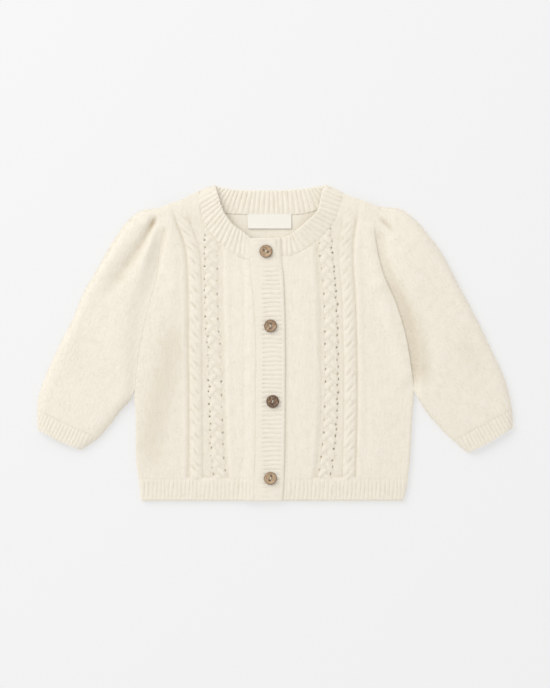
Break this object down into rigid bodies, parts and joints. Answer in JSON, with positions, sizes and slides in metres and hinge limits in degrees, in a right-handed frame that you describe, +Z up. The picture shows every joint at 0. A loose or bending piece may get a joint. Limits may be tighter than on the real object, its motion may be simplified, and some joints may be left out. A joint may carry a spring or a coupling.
{
  "type": "baby cardigan",
  "caption": "Baby cardigan in cream knit, laid flat, with puff sleeves, cabled fronts, ribbed neckband, hem and cuffs, and a buttoned placket.",
  "frame": {"origin": "middle of the cardigan's box, on the surface that it lies on", "axes": "+X across the chest to the wearer's left, +Y towards the neck, +Z up, away from the surface"},
  "size_m": [0.4759, 0.3157, 0.0114],
  "materials": {
    "knit": "soft brushed wool knit",
    "label_cloth": "woven satin",
    "button_shell": "satin, mottled"
  },
  "bodies": {
    "root": {"back": "knit", "right_front": "knit", "left_front": "knit", "right_sleeve": "knit", "left_sleeve": "knit", "neckband": "knit", "button_band": "knit", "buttonhole_band": "knit", "neck_label": "label_cloth", "button_1": "button_shell", "button_2": "button_shell", "button_3": "button_shell", "button_4": "button_shell"}
  },
  "joints": []
}
